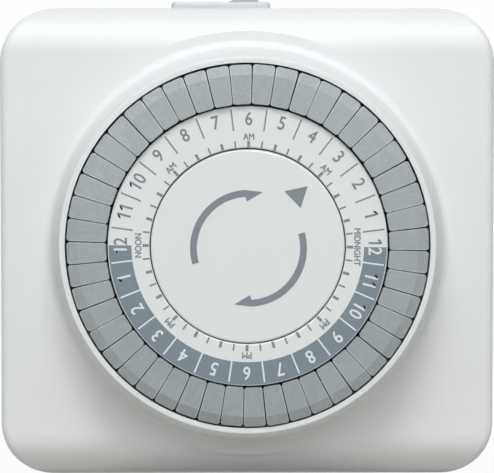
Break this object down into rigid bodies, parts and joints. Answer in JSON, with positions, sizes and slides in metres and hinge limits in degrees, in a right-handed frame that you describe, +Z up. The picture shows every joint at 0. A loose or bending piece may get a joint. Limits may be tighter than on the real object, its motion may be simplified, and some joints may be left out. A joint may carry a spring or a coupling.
{
  "type": "plug-in timer switch",
  "caption": "Plug-in mechanical day timer: round dial of press-down tappets on a rounded square case, wall plug behind, outlet on the side and override rocker on top.",
  "frame": {"origin": "on the dial's axis, in the plane of the back that meets the wall", "axes": "+Z up, -Y out of the wall towards the user, +X to the outlet side"},
  "size_m": [0.072, 0.0621, 0.0724],
  "materials": {
    "white_plastic": "satin moulded white",
    "dial_plastic": "satin white with printed scale",
    "tappet_plastic": "satin grey, finely scratched",
    "rocker_plastic": "satin light grey",
    "carrier_plastic": "black acetal",
    "frame_plastic": "natural acetal",
    "outlet_plastic": "matt white",
    "brass_strip": "stamped brass",
    "steel": "zinc plated",
    "magnet": "ferrite",
    "winding": "enamelled copper winding on a bobbin",
    "wire_sleeve": "insulated wire"
  },
  "bodies": {
    "root": {"front_cover": "white_plastic", "rear_case": "white_plastic", "case_screws": "steel", "gear_plate": "frame_plastic", "frame_screws": "steel", "gear_axles": "steel", "centre_cap": "dial_plastic", "motor_housing": "steel", "motor_coil": "winding", "motor_leads": "wire_sleeve", "lever_pin": "steel", "line_strap": "brass_strip", "fixed_contact": "brass_strip", "line_blade": "brass_strip", "neutral_blade": "brass_strip", "ground_pin": "brass_strip", "neutral_strap": "brass_strip", "ground_strap": "brass_strip", "outlet_block": "outlet_plastic", "outlet_line_contact": "brass_strip", "outlet_neutral_contact": "brass_strip", "outlet_ground_contact": "brass_strip", "rocker_bezel": "rocker_plastic", "rocker_terminals": "brass_strip"},
    "dial": {"tappet_carrier": "carrier_plastic", "dial_ring": "dial_plastic"},
    "second_gear": {"second_wheel": "frame_plastic", "second_pinion": "frame_plastic", "clutch_washer": "steel"},
    "first_gear": {"first_gear": "frame_plastic"},
    "motor_output": {"motor_pinion": "frame_plastic"},
    "rotor": {"motor_rotor": "magnet"},
    "lever": {"follower_lever": "frame_plastic"},
    "contact_leaf": {"moving_contact": "brass_strip"},
    "rocker": {"override_rocker": "rocker_plastic"},
    "tappets_hour_00": {"tappets_hour_00": "tappet_plastic"},
    "tappets_hour_01": {"tappets_hour_01": "tappet_plastic"},
    "tappets_hour_02": {"tappets_hour_02": "tappet_plastic"},
    "tappets_hour_03": {"tappets_hour_03": "tappet_plastic"},
    "tappets_hour_04": {"tappets_hour_04": "tappet_plastic"},
    "tappets_hour_05": {"tappets_hour_05": "tappet_plastic"},
    "tappets_hour_06": {"tappets_hour_06": "tappet_plastic"},
    "tappets_hour_07": {"tappets_hour_07": "tappet_plastic"},
    "tappets_hour_08": {"tappets_hour_08": "tappet_plastic"},
    "tappets_hour_09": {"tappets_hour_09": "tappet_plastic"},
    "tappets_hour_10": {"tappets_hour_10": "tappet_plastic"},
    "tappets_hour_11": {"tappets_hour_11": "tappet_plastic"},
    "tappets_hour_12": {"tappets_hour_12": "tappet_plastic"},
    "tappets_hour_13": {"tappets_hour_13": "tappet_plastic"},
    "tappets_hour_14": {"tappets_hour_14": "tappet_plastic"},
    "tappets_hour_15": {"tappets_hour_15": "tappet_plastic"},
    "tappets_hour_16": {"tappets_hour_16": "tappet_plastic"},
    "tappets_hour_17": {"tappets_hour_17": "tappet_plastic"},
    "tappets_hour_18": {"tappets_hour_18": "tappet_plastic"},
    "tappets_hour_19": {"tappets_hour_19": "tappet_plastic"},
    "tappets_hour_20": {"tappets_hour_20": "tappet_plastic"},
    "tappets_hour_21": {"tappets_hour_21": "tappet_plastic"},
    "tappets_hour_22": {"tappets_hour_22": "tappet_plastic"},
    "tappets_hour_23": {"tappets_hour_23": "tappet_plastic"}
  },
  "joints": [
    {"name": "dial_spin", "type": "hinge", "parent": "root", "child": "dial", "pos_m": [0, -0.036, 0], "axis": [0, -1, 0], "continuous": true},
    {"name": "second_gear_spin", "type": "hinge", "parent": "root", "child": "second_gear", "pos_m": [-0.01434, -0.025, -0.01004], "axis": [0, -1, 0], "continuous": true},
    {"name": "first_gear_spin", "type": "hinge", "parent": "root", "child": "first_gear", "pos_m": [-0.01434, -0.023, -0.02129], "axis": [0, -1, 0], "continuous": true},
    {"name": "motor_output_spin", "type": "hinge", "parent": "root", "child": "motor_output", "pos_m": [-0.02408, -0.023, -0.01566], "axis": [0, -1, 0], "continuous": true},
    {"name": "rotor_spin", "type": "hinge", "parent": "root", "child": "rotor", "pos_m": [-0.0165, -0.01275, -0.014], "axis": [0, -1, 0], "continuous": true},
    {"name": "tappets_hour_00_press", "type": "slide", "parent": "dial", "child": "tappets_hour_00", "axis": [0, 1, 0], "range_m": [0, 0.0022]},
    {"name": "tappets_hour_01_press", "type": "slide", "parent": "dial", "child": "tappets_hour_01", "axis": [0, 1, 0], "range_m": [0, 0.0022]},
    {"name": "tappets_hour_02_press", "type": "slide", "parent": "dial", "child": "tappets_hour_02", "axis": [0, 1, 0], "range_m": [0, 0.0022]},
    {"name": "tappets_hour_03_press", "type": "slide", "parent": "dial", "child": "tappets_hour_03", "axis": [0, 1, 0], "range_m": [0, 0.0022]},
    {"name": "tappets_hour_04_press", "type": "slide", "parent": "dial", "child": "tappets_hour_04", "axis": [0, 1, 0], "range_m": [0, 0.0022]},
    {"name": "tappets_hour_05_press", "type": "slide", "parent": "dial", "child": "tappets_hour_05", "axis": [0, 1, 0], "range_m": [0, 0.0022]},
    {"name": "tappets_hour_06_press", "type": "slide", "parent": "dial", "child": "tappets_hour_06", "axis": [0, 1, 0], "range_m": [0, 0.0022]},
    {"name": "tappets_hour_07_press", "type": "slide", "parent": "dial", "child": "tappets_hour_07", "axis": [0, 1, 0], "range_m": [0, 0.0022]},
    {"name": "tappets_hour_08_press", "type": "slide", "parent": "dial", "child": "tappets_hour_08", "axis": [0, 1, 0], "range_m": [0, 0.0022]},
    {"name": "tappets_hour_09_press", "type": "slide", "parent": "dial", "child": "tappets_hour_09", "axis": [0, 1, 0], "range_m": [0, 0.0022]},
    {"name": "tappets_hour_10_press", "type": "slide", "parent": "dial", "child": "tappets_hour_10", "axis": [0, 1, 0], "range_m": [0, 0.0022]},
    {"name": "tappets_hour_11_press", "type": "slide", "parent": "dial", "child": "tappets_hour_11", "axis": [0, 1, 0], "range_m": [0, 0.0022]},
    {"name": "tappets_hour_12_press", "type": "slide", "parent": "dial", "child": "tappets_hour_12", "axis": [0, 1, 0], "range_m": [0, 0.0022]},
    {"name": "tappets_hour_13_press", "type": "slide", "parent": "dial", "child": "tappets_hour_13", "axis": [0, 1, 0], "range_m": [0, 0.0022]},
    {"name": "tappets_hour_14_press", "type": "slide", "parent": "dial", "child": "tappets_hour_14", "axis": [0, 1, 0], "range_m": [0, 0.0022]},
    {"name": "tappets_hour_15_press", "type": "slide", "parent": "dial", "child": "tappets_hour_15", "axis": [0, 1, 0], "range_m": [0, 0.0022]},
    {"name": "tappets_hour_16_press", "type": "slide", "parent": "dial", "child": "tappets_hour_16", "axis": [0, 1, 0], "range_m": [0, 0.0022]},
    {"name": "tappets_hour_17_press", "type": "slide", "parent": "dial", "child": "tappets_hour_17", "axis": [0, 1, 0], "range_m": [0, 0.0022]},
    {"name": "tappets_hour_18_press", "type": "slide", "parent": "dial", "child": "tappets_hour_18", "axis": [0, 1, 0], "range_m": [0, 0.0022]},
    {"name": "tappets_hour_19_press", "type": "slide", "parent": "dial", "child": "tappets_hour_19", "axis": [0, 1, 0], "range_m": [0, 0.0022]},
    {"name": "tappets_hour_20_press", "type": "slide", "parent": "dial", "child": "tappets_hour_20", "axis": [0, 1, 0], "range_m": [0, 0.0022]},
    {"name": "tappets_hour_21_press", "type": "slide", "parent": "dial", "child": "tappets_hour_21", "axis": [0, 1, 0], "range_m": [0, 0.0022]},
    {"name": "tappets_hour_22_press", "type": "slide", "parent": "dial", "child": "tappets_hour_22", "axis": [0, 1, 0], "range_m": [0, 0.0022]},
    {"name": "tappets_hour_23_press", "type": "slide", "parent": "dial", "child": "tappets_hour_23", "axis": [0, 1, 0], "range_m": [0, 0.0022]},
    {"name": "lever_tilt", "type": "hinge", "parent": "root", "child": "lever", "pos_m": [-0.00399, -0.0244, 0.01689], "axis": [0, 0, 1], "range_deg": [0, 6.42]},
    {"name": "contact_close", "type": "hinge", "parent": "root", "child": "contact_leaf", "pos_m": [0.02901, -0.0223, 0.01689], "axis": [0, 0, -1], "range_deg": [0, 9.34]},
    {"name": "rocker_tilt", "type": "hinge", "parent": "root", "child": "rocker", "pos_m": [-0.0039, -0.0095, 0.0345], "axis": [0, 1, 0], "range_deg": [0, 24]}
  ],
  "couplings": [
    {"joint": "second_gear_spin", "follows": "dial_spin", "ratio": -6},
    {"joint": "first_gear_spin", "follows": "dial_spin", "ratio": 24},
    {"joint": "motor_output_spin", "follows": "dial_spin", "ratio": -96},
    {"joint": "lever_tilt", "follows": "tappets_hour_03_press", "rad_per_m": 50.808},
    {"joint": "contact_close", "follows": "tappets_hour_03_press", "rad_per_m": 73.967}
  ]
}
